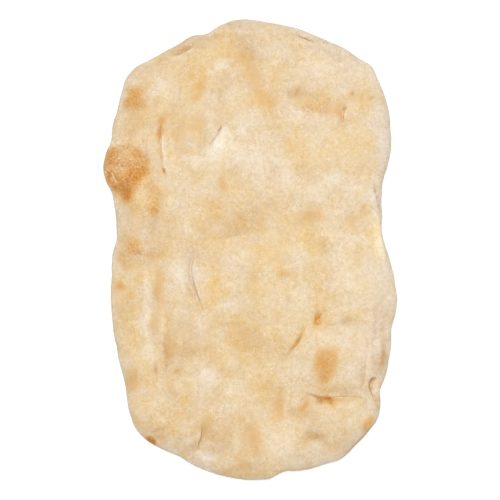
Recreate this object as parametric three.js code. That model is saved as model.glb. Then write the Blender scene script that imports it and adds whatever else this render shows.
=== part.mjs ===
// A plain baked pinsa base: one oval flatbread of airy dough, stretched by hand, with a rounded rim,
// finger dimples, risen bubbles, folds and one large burst blister on its left edge.
// Millimetres. +X runs across the bread, +Y along it and +Z up. The origin is under the middle of the
// bread, on the plane that its flat underside rests on.
import * as THREE from "three";

// Driving sizes
const LENGTH = 300; // along Y
const WIDTH = 190.6; // along X, blister included
const CRUMB_HEIGHT = 13; // height of the top between its swellings and dimples
const EDGE_SHARE = 0.46; // the side is widest at this share of the height of the rim above it
const RIM_REACH = 17; // how far in from the outline the top rounds over
const FOOT_REACH = 8; // how far in from the outline the flat underside begins
const SPINE_SHARE = 0.4; // the rim rounds in towards the point of the long axis at this share of its own Y

// Mesh density
const CELLS_ACROSS = 32; // along the bottom and top sides of the outline
const CELLS_ALONG = 52; // along its left and right sides
const RIM_STEPS = 6; // rings from the top down to the widest line
const FOOT_STEPS = 3; // rings from there down to the underside
const CURVE_STEPS = 24; // samples of the outline between two of its points
const FOLD_BANDS = [3.4, 1.9]; // an edge is halved where its middle is nearer than this to a fold, in turn
const FIT = 0.15; // an edge is halved where its middle lies further than this off the true skin
const FIT_PASSES = 2; // how many times over edges are halved for that

const CRUST = { color: 0xe9cea6, roughness: 0.85, metalness: 0 };

// The outline seen from above, anticlockwise: four sides, each from its corner to just before the next.
const OUTLINE = {
  bottom: [
    [-66.3, -124.7], [-54.7, -130.5], [-45.8, -134.6], [-37, -140.3], [-21.9, -146.3], [-10, -149.1],
    [5, -149.9], [11.9, -149.3], [19.9, -145.1], [36, -143.4], [47.8, -139.5], [59.9, -135.5],
    [67.8, -127.8],
  ],
  right: [
    [76, -119.5], [82.5, -110.3], [84.3, -102], [84, -92], [86.7, -84.9], [89.8, -74], [91.5, -62],
    [91.6, -52.9], [94.1, -41.9], [94.9, -32], [93.6, -19.1], [89.9, -5.2], [85.9, 7.8], [85.9, 20.1],
    [85.2, 31], [85.8, 41.1], [88.8, 53.1], [91.1, 66], [90.9, 83], [88.9, 95], [84.4, 106.5],
  ],
  top: [
    [78.4, 118.4], [69.7, 124], [59.9, 130.9], [45.9, 137], [30, 143.3], [12, 147.3], [-5, 149.4],
    [-11.8, 147.9], [-21.8, 143.2], [-27.8, 139.6], [-37.9, 138.2], [-45.8, 133], [-53.7, 128.7],
    [-64.8, 122.7],
  ],
  left: [
    [-76.9, 115.4], [-81.9, 105.8], [-85.3, 91.8], [-88.9, 80], [-89.6, 70.4], [-92.8, 62.3],
    [-94.8, 54], [-93.3, 45.2], [-89, 35.2], [-87.6, 27], [-86.8, 14], [-86, 5.9], [-88.6, -3.6],
    [-89.9, -21], [-90, -31], [-88.8, -50], [-84.9, -70.9], [-80.3, -92], [-77.8, -105.9],
    [-73.9, -116.9],
  ],
};

// Soft rises of the top, and dimples where rise is negative. Each is a smooth hill with the half widths
// across and along; turn swings its long way anticlockwise from +Y, in degrees.
const HILLS = [
  { name: "left shoulder", x: -70, y: 86, across: 15, along: 30, turn: -8, rise: 2.6 },
  { name: "upper left pillow", x: -41, y: 75, across: 17, along: 20, turn: -15, rise: 2.4 },
  { name: "crown", x: -14, y: 131, across: 32, along: 13, turn: -8, rise: 1.8 },
  { name: "upper right pillow", x: 42, y: 117, across: 32, along: 14, turn: 16, rise: 2.4 },
  { name: "right pillow", x: 60, y: 64, across: 26, along: 26, turn: 0, rise: 2.2 },
  { name: "right bulge", x: 70, y: -24, across: 23, along: 22, turn: 0, rise: 3 },
  { name: "lower right pillow", x: 57, y: -112, across: 25, along: 12, turn: -10, rise: 2.4 },
  { name: "bottom pillow", x: 14, y: -129, across: 27, along: 15, turn: 0, rise: 2 },
  { name: "lower left pillow", x: -55, y: -103, across: 19, along: 19, turn: 0, rise: 2.2 },
  { name: "left ridge", x: -69, y: -45, across: 9, along: 42, turn: 3, rise: 2.6 },
  { name: "left middle pillow", x: -64, y: 20, across: 18, along: 22, turn: 0, rise: 1.6 },
  { name: "floured fold", x: -46, y: -20, across: 8, along: 28, turn: 3, rise: 1.6 },
  { name: "middle pillow", x: 2, y: -22, across: 32, along: 30, turn: 0, rise: 1.6 },
  { name: "low middle pillow", x: -22, y: -84, across: 18, along: 12, turn: 0, rise: 1.6 },
  { name: "ridge by the corner fold", x: 74.5, y: -95, across: 2.8, along: 7, turn: 41, rise: 1.4 },
  { name: "floured hollow", x: -11, y: 66, across: 13, along: 13, turn: 0, rise: -2 },
  { name: "crown valley", x: 3, y: 110, across: 6, along: 24, turn: 28, rise: -1.8 },
  { name: "upper right valley", x: 43, y: 95, across: 5, along: 21, turn: 72, rise: -2 },
  { name: "left trough", x: -56.5, y: -45, across: 4.5, along: 32, turn: 5, rise: -2.2 },
  { name: "cross trough", x: -36, y: -66, across: 5, along: 18, turn: 90, rise: -1.5 },
  { name: "middle dimple", x: -3, y: -57, across: 11, along: 9, turn: 0, rise: -1.5 },
  { name: "right channel", x: 44, y: -10, across: 5, along: 26, turn: 3, rise: -1.7 },
  { name: "middle band", x: -8, y: 18, across: 8, along: 30, turn: -67, rise: -1.4 },
  { name: "right dimple", x: 67, y: 18, across: 10, along: 6, turn: 0, rise: -1.2 },
  { name: "thumb mark", x: 18, y: -102, across: 4.5, along: 11, turn: -8, rise: -1.2 },
  { name: "low right dimple", x: 40, y: -121, across: 6.5, along: 4.5, turn: 0, rise: -1.6 },
];

// Bubbles that baking blew up: domes with a clear foot, with the same names for their sizes.
const BUBBLES = [
  { name: "burst blister", x: -81, y: 53, across: 15.5, along: 16.5, turn: 0, rise: 4.8 },
  { name: "tail of the blister", x: -80.5, y: 40, across: 8.5, along: 12, turn: 8, rise: 2.2 },
  { name: "lower right bubble", x: 53, y: -73, across: 23, along: 22.5, turn: 0, rise: 4.2 },
  { name: "upper left blister", x: -75, y: 98, across: 10, along: 10, turn: 0, rise: 1.4 },
  { name: "left blister", x: -64, y: 33, across: 8, along: 13, turn: 0, rise: 1.2 },
  { name: "left edge blister", x: -77, y: 2, across: 9, along: 9, turn: 0, rise: 1.2 },
];
const BUBBLE_FULLNESS = 1.1; // exponent of a dome's profile: lower is steeper at the foot

// Folds and pits pressed into the skin along its normal. A fold runs through its points; its left and
// right lips, seen along that way, puff up beside it. A negative depth is a ridge.
const FOLDS = [
  {
    name: "left fold", depth: 1.8, half: 1.4, left: 0.9, right: 0.3,
    points: [[-54, 92], [-57, 86], [-58.2, 79], [-58, 72], [-57.9, 65], [-57, 59], [-55.8, 52]],
  },
  {
    name: "edge of the upper left pillow", depth: 1.4, half: 1.4, left: 1.2, right: -0.6,
    points: [[-26.8, 66.2], [-22, 72.2], [-19.2, 77], [-17.2, 82]],
  },
  {
    name: "middle left fold", depth: 1.6, half: 1.3, left: 0.6, right: 0.3,
    points: [[-36, 4], [-37, -5], [-38.2, -13], [-37, -21], [-34.5, -29], [-32, -36], [-29.5, -43]],
  },
  {
    name: "upper foot of the bubble", depth: 1.6, half: 1.3, left: 0.5, right: 0.4,
    points: [[37, -49], [33.5, -55], [31, -60], [27.5, -64.5], [22.5, -71]],
  },
  {
    name: "lower foot of the bubble", depth: 1.2, half: 1.3, left: 0.3, right: 0,
    points: [[36, -92.5], [41, -94.3], [46, -95.8], [52, -96.3], [60, -95.5], [69, -95.8], [76, -98.5]],
  },
  {
    name: "valley above the bubble", depth: 0.8, half: 2.8, left: 0, right: 0,
    points: [[45, -48], [54, -50], [64, -47], [73, -46]],
  },
  {
    name: "corner fold", depth: 2, half: 1.4, left: 0.6, right: 0.4,
    points: [[81.5, -96], [79, -92], [77.8, -88.5], [78.9, -85.3], [82, -83]],
  },
  {
    name: "right edge fold", depth: 1.6, half: 1.3, left: 0, right: 0.6,
    points: [[83.8, 25], [82.8, 31.5], [81.5, 37.5], [80.2, 43]],
  },
  {
    name: "top left tuck", depth: 1.8, half: 1.4, left: 0.8, right: 0,
    points: [[-35.5, 133], [-41.5, 129.8], [-46.5, 127.3], [-52, 126.5]],
  },
  {
    name: "top right tuck", depth: 1.4, half: 1.3, left: 0.4, right: 0,
    points: [[54, 133.5], [45, 135], [37, 136.8], [29, 140]],
  },
  {
    name: "bottom fold", depth: 1.6, half: 1.3, left: 0.5, right: 0.2,
    points: [[-34.8, -132], [-32.8, -126], [-31.2, -120.5], [-30.8, -114]],
  },
  {
    name: "lower left crease", depth: 0.9, half: 1.6, left: 0, right: 0,
    points: [[-66, -119], [-58, -116.5], [-50, -113]],
  },
  {
    name: "nick by the upper right valley", depth: 1.3, half: 1.3, left: 0.6, right: 0,
    points: [[62.8, 93], [61, 89.5], [60.2, 86], [60.8, 82.5]],
  },
  {
    name: "lip on the right edge", depth: -4, half: 1.7, left: 0, right: 0,
    points: [
      [75, 28.4], [78.5, 26.4], [81.4, 23.6], [83.2, 19.6], [84.2, 13.5], [84.9, 6.5], [86.7, -2], [88.5, -9],
    ],
  },
];
const LIP_REACH = 5; // how far from a fold its lips die away
const FOLD_TAPER = 0.8; // exponent of the way a fold fades out at its ends: lower is blunter
const FOLD_STEPS = 12; // samples of a fold between two of its points

const PITS = [
  { name: "pit above the bubble", x: 44, y: -44, across: 2.2, along: 4, turn: -10, rise: -2 },
  { name: "pit in the corner fold", x: 80, y: -85.5, across: 2.2, along: 2.4, turn: 0, rise: -1.6 },
];

// Long low waves left by stretching the dough: length of a wave, the way it runs, height and phase.
const WAVES = [
  { length: 71, turn: 12, height: 0.4, phase: 0.4 },
  { length: 57, turn: 97, height: 0.36, phase: 2.1 },
  { length: 43, turn: 51, height: 0.26, phase: 4 },
  { length: 37, turn: 139, height: 0.22, phase: 1.2 },
  { length: 29, turn: 170, height: 0.15, phase: 5.3 },
  { length: 23, turn: 75, height: 0.12, phase: 3.1 },
];

// Position of a point in a feature's own directions, in units of its half widths.
function inFeature(feature, x, y) {
  const angle = THREE.MathUtils.degToRad(feature.turn);
  const dx = x - feature.x;
  const dy = y - feature.y;
  const across = dx * Math.cos(angle) + dy * Math.sin(angle);
  const along = dy * Math.cos(angle) - dx * Math.sin(angle);
  return (across / feature.across) ** 2 + (along / feature.along) ** 2;
}

const hill = (feature, x, y) => feature.rise * Math.exp(-inFeature(feature, x, y));

function bubble(feature, x, y) {
  const inside = Math.max(0, 1 - inFeature(feature, x, y));
  return feature.rise * inside ** BUBBLE_FULLNESS;
}

function wave({ length, turn, height, phase }, x, y) {
  const angle = THREE.MathUtils.degToRad(turn);
  const along = x * Math.cos(angle) + y * Math.sin(angle);
  return height * Math.sin((2 * Math.PI * along) / length + phase);
}

const total = (features, shape, x, y) => features.reduce((sum, f) => sum + shape(f, x, y), 0);

function topHeight(x, y) {
  return CRUMB_HEIGHT + total(HILLS, hill, x, y) + total(BUBBLES, bubble, x, y) + total(WAVES, wave, x, y);
}

// A fold's line as short straight stretches.
function foldLine({ points }) {
  const curve = new THREE.CatmullRomCurve3(
    points.map(([x, y]) => new THREE.Vector3(x, y, 0)), false, "centripetal",
  );
  return curve.getPoints((points.length - 1) * FOLD_STEPS);
}

const foldLines = new Map(FOLDS.map((fold) => [fold, foldLine(fold)]));

// Nearest place on a fold's line: distance, which side (1 left, -1 right), and share of the way along.
function nearestOnFold(fold, x, y) {
  const line = foldLines.get(fold);
  let best = { distance: Infinity, side: 1, share: 0 };
  for (let i = 0; i + 1 < line.length; i += 1) {
    const [a, b] = [line[i], line[i + 1]];
    const step = { x: b.x - a.x, y: b.y - a.y };
    const along = ((x - a.x) * step.x + (y - a.y) * step.y) / (step.x ** 2 + step.y ** 2);
    const t = THREE.MathUtils.clamp(along, 0, 1);
    const off = { x: x - a.x - t * step.x, y: y - a.y - t * step.y };
    const distance = Math.hypot(off.x, off.y);
    if (distance < best.distance) {
      const side = step.x * off.y - step.y * off.x >= 0 ? 1 : -1;
      best = { distance, side, share: (i + t) / (line.length - 1) };
    }
  }
  return best;
}

// A groove that fades out at both ends, with lips that rise from it and die away.
function fold(feature, x, y) {
  const { distance, side, share } = nearestOnFold(feature, x, y);
  const fade = Math.sin(Math.PI * share) ** FOLD_TAPER;
  const groove = Math.exp(-((distance / feature.half) ** 2));
  const lip = (side > 0 ? feature.left : feature.right) * Math.exp(-((distance / LIP_REACH) ** 2));
  return fade * (lip * (1 - groove) - feature.depth * groove);
}

const skinRelief = (x, y) => total(FOLDS, fold, x, y) + total(PITS, hill, x, y);

// The outline's points at even steps along each side, from the lower left corner anticlockwise.
function outlineRing() {
  const sides = Object.values(OUTLINE);
  const points = sides.flat().map(([x, y]) => new THREE.Vector3(x, y, 0));
  const curve = new THREE.CatmullRomCurve3(points, true, "centripetal");
  curve.arcLengthDivisions = points.length * CURVE_STEPS;
  const lengths = curve.getLengths();
  const whole = lengths.at(-1);

  const box = new THREE.Box3().setFromPoints(curve.getPoints(curve.arcLengthDivisions));
  const middle = box.getCenter(new THREE.Vector3());
  const size = box.getSize(new THREE.Vector3());
  const fit = (p) => ({ x: ((p.x - middle.x) * WIDTH) / size.x, y: ((p.y - middle.y) * LENGTH) / size.y });

  const ring = [];
  let corner = 0;
  sides.forEach((side, s) => {
    const cells = s % 2 === 0 ? CELLS_ACROSS : CELLS_ALONG;
    const from = lengths[corner * CURVE_STEPS] / whole;
    const to = lengths[(corner + side.length) * CURVE_STEPS] / whole;
    for (let i = 0; i < cells; i += 1) {
      ring.push(fit(curve.getPointAt(from + ((to - from) * i) / cells)));
    }
    corner += side.length;
  });
  return ring;
}

// The ring moved in by a distance, towards the long axis.
function inset(ring, distance) {
  return ring.map(({ x, y }) => {
    const way = { x: -x, y: y * SPINE_SHARE - y };
    const share = distance / Math.hypot(way.x, way.y);
    return { x: x + way.x * share, y: y + way.y * share };
  });
}

// Fills a ring with a grid of points that blends its four sides, by rows from the bottom.
function gridInside(ring) {
  const [m, n] = [CELLS_ACROSS, CELLS_ALONG];
  const bottom = (i) => ring[i];
  const right = (j) => ring[m + j];
  const top = (i) => ring[m + n + (m - i)];
  const left = (j) => ring[(2 * m + n + (n - j)) % ring.length];
  const corners = [bottom(0), right(0), left(n), right(n)];
  const grid = [];
  for (let j = 0; j <= n; j += 1) {
    for (let i = 0; i <= m; i += 1) {
      const [u, v] = [i / m, j / n];
      const weights = [(1 - u) * (1 - v), u * (1 - v), (1 - u) * v, u * v];
      const blend = (axis) =>
        (1 - v) * bottom(i)[axis] + v * top(i)[axis] + (1 - u) * left(j)[axis] + u * right(j)[axis] -
        corners.reduce((sum, p, k) => sum + weights[k] * p[axis], 0);
      grid.push({ x: blend("x"), y: blend("y") });
    }
  }
  return grid;
}

// The grid's border as indices, in the same order as the ring that it fills.
function gridBorder() {
  const [m, n] = [CELLS_ACROSS, CELLS_ALONG];
  const at = (i, j) => j * (m + 1) + i;
  return [
    ...Array.from({ length: m }, (_, i) => at(i, 0)),
    ...Array.from({ length: n }, (_, j) => at(m, j)),
    ...Array.from({ length: m }, (_, i) => at(m - i, n)),
    ...Array.from({ length: n }, (_, j) => at(0, n - j)),
  ];
}

// Two triangles for each cell of the grid, with the diagonals turned about from cell to cell.
function gridTriangles() {
  const [m, n] = [CELLS_ACROSS, CELLS_ALONG];
  const triangles = [];
  for (let j = 0; j < n; j += 1) {
    for (let i = 0; i < m; i += 1) {
      const a = j * (m + 1) + i;
      const [b, c, d] = [a + 1, a + m + 2, a + m + 1];
      triangles.push(...((i + j) % 2 === 0 ? [a, b, c, a, c, d] : [a, b, d, b, c, d]));
    }
  }
  return triangles;
}

// A band of triangles between two rings, the inner or upper ring first.
function bandTriangles(upper, lower) {
  return upper.flatMap((a, k) => {
    const next = (k + 1) % upper.length;
    const [b, c, d] = [upper[next], lower[next], lower[k]];
    return [a, d, c, a, c, b];
  });
}

// The middle of an edge, on the smooth skin: exact on the top's grid, straight on the rim.
function edgeMiddle(a, b) {
  const [x, y] = [(a.x + b.x) / 2, (a.y + b.y) / 2];
  const relief = (a.relief + b.relief) / 2;
  return { x, y, z: relief === 1 ? topHeight(x, y) : (a.z + b.z) / 2, relief };
}

const skinHeight = (p) => p.z + (p.relief === 0 ? 0 : p.relief * skinRelief(p.x, p.y));

// The triangles that one triangle becomes when some of its edges are halved; a middle is -1 if it isn't.
function splitTriangle([a, b, c], [ab, bc, ca]) {
  const halved = [ab, bc, ca].filter((middle) => middle >= 0).length;
  if (halved === 0) return [a, b, c];
  if (halved === 3) return [a, ab, ca, ab, b, bc, ca, bc, c, ab, bc, ca];
  const startsHere = halved === 1 ? ab >= 0 : ca < 0;
  if (!startsHere) return splitTriangle([b, c, a], [bc, ca, ab]);
  return halved === 1 ? [a, ab, c, ab, b, c] : [ab, b, bc, a, ab, bc, a, bc, c];
}

const nearFold = (reach) => ({ x, y, relief }) =>
  relief > 0 && FOLDS.some((feature) => nearestOnFold(feature, x, y).distance < reach);

const offSkin = (middle, a, b) =>
  Math.abs(skinHeight(middle) - (skinHeight(a) + skinHeight(b)) / 2) > FIT;

// Halves the edges that are too coarse for what they cross, so that the cells are fine only there.
function refined(vertices, triangles, tooCoarse) {
  const middles = new Map();
  const middleOf = (i, j) => {
    const key = `${Math.min(i, j)} ${Math.max(i, j)}`;
    if (!middles.has(key)) {
      const middle = edgeMiddle(vertices[i], vertices[j]);
      const halved = tooCoarse(middle, vertices[i], vertices[j]);
      middles.set(key, halved ? vertices.push(middle) - 1 : -1);
    }
    return middles.get(key);
  };
  const finer = [];
  for (let t = 0; t < triangles.length; t += 3) {
    const [a, b, c] = triangles.slice(t, t + 3);
    finer.push(...splitTriangle([a, b, c], [middleOf(a, b), middleOf(b, c), middleOf(c, a)]));
  }
  return finer;
}

// The whole skin: the grid of the top, the rim rounding over, the foot rounding under, the flat underside.
function pinsaGeometry() {
  const outline = outlineRing();
  const crest = inset(outline, RIM_REACH);
  const edgeHeights = crest.map(({ x, y }) => EDGE_SHARE * topHeight(x, y));
  const grid = gridInside(crest);
  const vertices = grid.map(({ x, y }) => ({ x, y, z: topHeight(x, y), relief: 1 }));
  let triangles = gridTriangles();
  let upper = gridBorder();

  const addRing = (ring) => {
    const lower = ring.map((_, k) => vertices.length + k);
    vertices.push(...ring);
    triangles.push(...bandTriangles(upper, lower));
    upper = lower;
  };
  for (let step = RIM_STEPS - 1; step >= 0; step -= 1) {
    const angle = ((step / RIM_STEPS) * Math.PI) / 2;
    const share = Math.sin(angle);
    const ring = inset(outline, RIM_REACH * (1 - Math.cos(angle)));
    addRing(ring.map(({ x, y }, k) => ({
      x, y, z: edgeHeights[k] + (topHeight(x, y) - edgeHeights[k]) * share, relief: share,
    })));
  }
  for (let step = 1; step <= FOOT_STEPS; step += 1) {
    const angle = ((step / FOOT_STEPS) * Math.PI) / 2;
    const ring = inset(outline, FOOT_REACH * (1 - Math.cos(angle)));
    const share = step === FOOT_STEPS ? 0 : 1 - Math.sin(angle);
    addRing(ring.map(({ x, y }, k) => ({ x, y, z: edgeHeights[k] * share, relief: 0 })));
  }
  const foot = upper.map((k) => new THREE.Vector2(vertices[k].x, vertices[k].y));
  for (const [a, b, c] of THREE.ShapeUtils.triangulateShape(foot, [])) {
    triangles.push(upper[a], upper[c], upper[b]);
  }
  for (const tooCoarse of [...FOLD_BANDS.map(nearFold), ...Array(FIT_PASSES).fill(offSkin)]) {
    triangles = refined(vertices, triangles, tooCoarse);
  }
  return pressFolds(vertices, triangles);
}

// Moves each point of the smooth skin along its normal by the folds and pits there.
function pressFolds(vertices, triangles) {
  const geometry = new THREE.BufferGeometry();
  const positions = new THREE.Float32BufferAttribute(vertices.flatMap((p) => [p.x, p.y, p.z]), 3);
  geometry.setAttribute("position", positions);
  geometry.setIndex(triangles);
  geometry.computeVertexNormals();
  const normals = geometry.getAttribute("normal");
  vertices.forEach(({ x, y, z, relief }, k) => {
    if (relief === 0) return;
    const move = relief * skinRelief(x, y);
    positions.setXYZ(
      k, x + normals.getX(k) * move, y + normals.getY(k) * move, z + normals.getZ(k) * move,
    );
  });
  geometry.computeVertexNormals();
  return geometry;
}

const pinsa = new THREE.Group();
const base = new THREE.Mesh(pinsaGeometry(), new THREE.MeshStandardMaterial(CRUST));
base.name = "pinsa_base";
pinsa.add(base);

export default pinsa;
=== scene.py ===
# The looks of a plain baked pinsa base: the bread's skin at full detail, its material, floor, light, camera.
import itertools
import math
from collections import namedtuple

import bmesh
import bpy
import numpy as np
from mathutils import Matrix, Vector


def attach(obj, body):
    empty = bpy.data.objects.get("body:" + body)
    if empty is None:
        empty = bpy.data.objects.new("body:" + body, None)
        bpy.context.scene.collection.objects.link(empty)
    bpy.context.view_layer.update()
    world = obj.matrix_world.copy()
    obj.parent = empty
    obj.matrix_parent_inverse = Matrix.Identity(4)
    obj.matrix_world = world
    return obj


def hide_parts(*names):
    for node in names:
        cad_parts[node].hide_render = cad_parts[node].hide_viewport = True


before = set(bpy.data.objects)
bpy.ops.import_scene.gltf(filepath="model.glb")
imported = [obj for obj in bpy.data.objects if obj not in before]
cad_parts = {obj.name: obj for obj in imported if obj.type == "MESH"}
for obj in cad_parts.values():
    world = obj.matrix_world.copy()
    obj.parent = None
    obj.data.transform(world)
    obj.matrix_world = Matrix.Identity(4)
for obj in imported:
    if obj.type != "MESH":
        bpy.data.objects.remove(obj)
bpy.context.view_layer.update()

MM = 0.001

# Sizes of the bread, in millimetres
LENGTH = 300
WIDTH = 190.6
CRUMB_HEIGHT = 13
RIM_REACH = 17
FOOT_REACH = 8
UNDERSIDE_MARGIN = 2
FOLD_FIELD = 15
LIP_REACH = 5
LIP_FLOUR_REACH = 2.4

# Shares and exponents of the form; a fold's flanks, tint (browning and painted shade) and flour are
# multiples of its half width
EDGE_SHARE = 0.46
SPINE_SHARE = 0.4
BUBBLE_FULLNESS = 1.1
FOLD_TAPER = 0.8
FOLD_SHARPNESS = 1.4
STEEP_FLANK = 0.55
GENTLE_FLANK = 1.9
FOLD_TINT = 1.3
LIP_FLOUR_START = 1.5

# Mesh density; the counts of cells are even, because the underside has half as many
CELLS_ACROSS = 144
CELLS_ALONG = 240
RIM_STEPS = 18
FOOT_STEPS = 7
CURVE_STEPS = 24
FOLD_STEPS = 12

# Each band halves the cells along the folds: its reach from a fold's line, half width of the widest fold
FINE_BANDS = [(2.4, 2.4), (1.3, 1.15)]

# The outline seen from above, anticlockwise: four sides, each from its corner to just before the next
OUTLINE = {
    "bottom": [
        (-66.3, -124.7), (-54.7, -130.5), (-45.8, -134.6), (-37, -140.3), (-21.9, -146.3), (-10, -149.1),
        (5, -149.9), (11.9, -149.3), (19.9, -145.1), (36, -143.4), (47.8, -139.5), (59.9, -135.5),
        (67.8, -127.8),
    ],
    "right": [
        (76, -119.5), (82.5, -110.3), (84.3, -102), (84, -92), (86.7, -84.9), (89.8, -74), (91.5, -62),
        (91.6, -52.9), (94.1, -41.9), (94.9, -32), (93.6, -19.1), (89.9, -5.2), (85.9, 7.8), (85.9, 20.1),
        (85.2, 31), (85.8, 41.1), (88.8, 53.1), (91.1, 66), (90.9, 83), (88.9, 95), (84.4, 106.5),
    ],
    "top": [
        (78.4, 118.4), (69.7, 124), (59.9, 130.9), (45.9, 137), (30, 143.3), (12, 147.3), (-5, 149.4),
        (-11.8, 147.9), (-21.8, 143.2), (-27.8, 139.6), (-37.9, 138.2), (-45.8, 133), (-53.7, 128.7),
        (-64.8, 122.7),
    ],
    "left": [
        (-76.9, 115.4), (-81.9, 105.8), (-85.3, 91.8), (-88.9, 80), (-89.6, 70.4), (-92.8, 62.3),
        (-94.8, 54), (-93.3, 45.2), (-89, 35.2), (-87.6, 27), (-86.8, 14), (-86, 5.9), (-88.6, -3.6),
        (-89.9, -21), (-90, -31), (-88.8, -50), (-84.9, -70.9), (-80.3, -92), (-77.8, -105.9),
        (-73.9, -116.9),
    ],
}

# Soft rises of the top, and dimples where the rise is negative:
# name, x, y, half width across, half width along, turn anticlockwise from +Y in degrees, rise
HILLS = [
    ("left shoulder", -70, 86, 15, 30, -8, 2.6),
    ("upper left pillow", -41, 75, 17, 20, -15, 2.4),
    ("crown", -14, 131, 32, 13, -8, 1.8),
    ("upper right pillow", 42, 117, 32, 14, 16, 2.4),
    ("right pillow", 60, 64, 26, 26, 0, 2.2),
    ("right bulge", 70, -24, 23, 22, 0, 3),
    ("lower right pillow", 57, -112, 25, 12, -10, 2.4),
    ("bottom pillow", 14, -129, 27, 15, 0, 2),
    ("lower left pillow", -55, -103, 19, 19, 0, 2.2),
    ("left ridge", -69, -45, 9, 42, 3, 2.6),
    ("left middle pillow", -64, 20, 18, 22, 0, 1.6),
    ("floured fold", -46, -20, 8, 28, 3, 1.6),
    ("middle pillow", 2, -22, 32, 30, 0, 1.6),
    ("low middle pillow", -22, -84, 18, 12, 0, 1.6),
    ("ridge by the corner fold", 74.5, -95, 2.8, 7, 41, 1.4),
    ("floured hollow", -11, 66, 13, 13, 0, -2),
    ("crown valley", 3, 110, 6, 24, 28, -1.8),
    ("upper right valley", 43, 95, 5, 21, 72, -2),
    ("left trough", -56.5, -45, 4.5, 32, 5, -2.2),
    ("cross trough", -36, -66, 5, 18, 90, -1.5),
    ("middle dimple", -3, -57, 11, 9, 0, -1.5),
    ("right channel", 44, -10, 5, 26, 3, -1.7),
    ("middle band", -8, 18, 8, 30, -67, -1.4),
    ("right dimple", 67, 18, 10, 6, 0, -1.2),
    ("thumb mark", 18, -102, 4.5, 11, -8, -1.2),
    ("low right dimple", 40, -121, 6.5, 4.5, 0, -1.6),
]

# Domes with a clear foot, in the same columns
BUBBLES = [
    ("burst blister", -81, 53, 15.5, 16.5, 0, 4.8),
    ("tail of the blister", -80.5, 40, 8.5, 12, 8, 2.2),
    ("lower right bubble", 53, -73, 23, 22.5, 0, 4.2),
    ("upper left blister", -75, 98, 10, 10, 0, 1.4),
    ("left blister", -64, 33, 8, 13, 0, 1.2),
    ("left edge blister", -77, 2, 9, 9, 0, 1.2),
]

# Pits pressed into the skin, in the same columns
PITS = [
    ("pit above the bubble", 44, -44, 2, 4, -10, -2),
    ("pit in the corner fold", 80, -85.5, 2, 2.2, 0, -1.6),
]

# A fold pressed into the skin is steep on the left of its line and gentle on the right. Half is its half
# width. Its flour lies on its left lip, or on its right one where the value is negative.
# The column after the lips darkens the groove, partly browning and partly painted shade; where negative it
# paints a highlight on a ridge.
Fold = namedtuple("Fold", "name depth half left_lip right_lip browning flour points")

# The main folds
FOLDS = [
    ("left fold", 1, 0.7, 0.7, 0.3, 0.3, 0.3,
     [(-54, 92), (-57, 86), (-58.2, 79), (-58, 72), (-57.9, 65), (-57, 59), (-55.8, 52)]),
    ("edge of the upper left pillow", 0.8, 1.4, 0.8, -0.5, 0.3, -0.3,
     [(-26.8, 66.2), (-22, 72.2), (-19.2, 77), (-17.2, 82)]),
    ("middle left fold", 1.8, 1, 0.7, 0.3, 0.3, 0.4,
     [(-36, 4), (-37, -5), (-38.2, -13), (-37, -21), (-34.5, -29), (-32, -36), (-29.5, -43)]),
    ("upper foot of the bubble", 1.3, 0.7, 0.5, 0.4, 1.2, 0,
     [(37, -49), (33.5, -55), (31, -60), (27.5, -64.5), (22.5, -71)]),
    ("lower foot of the bubble", 0.8, 0.7, 0.3, 0, 0.3, 0,
     [(36, -92.5), (41, -94.3), (46, -95.8), (52, -96.3), (60, -95.5), (69, -95.8), (76, -98.5)]),
    ("valley above the bubble", 0.8, 2.4, 0, 0, 0, 0, [(45, -48), (54, -50), (64, -47), (73, -46)]),
    ("corner fold", 1.6, 1.1, 0.6, 0.4, 1, -0.2,
     [(81.5, -96), (79, -92), (77.8, -88.5), (78.9, -85.3), (82, -83)]),
    ("right edge fold", 1.3, 0.9, 0, 0.6, 2.2, 0.2, [(83.8, 25), (82.8, 31.5), (81.5, 37.5), (80.2, 43)]),
    ("top left tuck", 1.8, 1.3, 0.8, 0, 0.8, 0.1,
     [(-35.5, 133), (-41.5, 129.8), (-46.5, 127.3), (-52, 126.5)]),
    ("top right tuck", 2.4, 0.7, 0.4, 0, 3, 0, [(54, 133.5), (45, 135), (37, 136.8), (29, 140)]),
    ("bottom fold", 1.6, 0.9, 0.5, 0.2, 0.4, 0.1,
     [(-34.8, -132), (-32.8, -126), (-31.2, -120.5), (-30.8, -114)]),
    ("lower left crease", 0.6, 1.6, 0.2, 0, 0.4, 0, [(-66, -119), (-58, -116.5), (-50, -113)]),
    ("nick by the upper right valley", 1.2, 0.8, 0.9, 0, 0.3, 0.2,
     [(62.8, 93), (61, 89.5), (60.2, 86), (60.8, 82.5)]),
]

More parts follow.
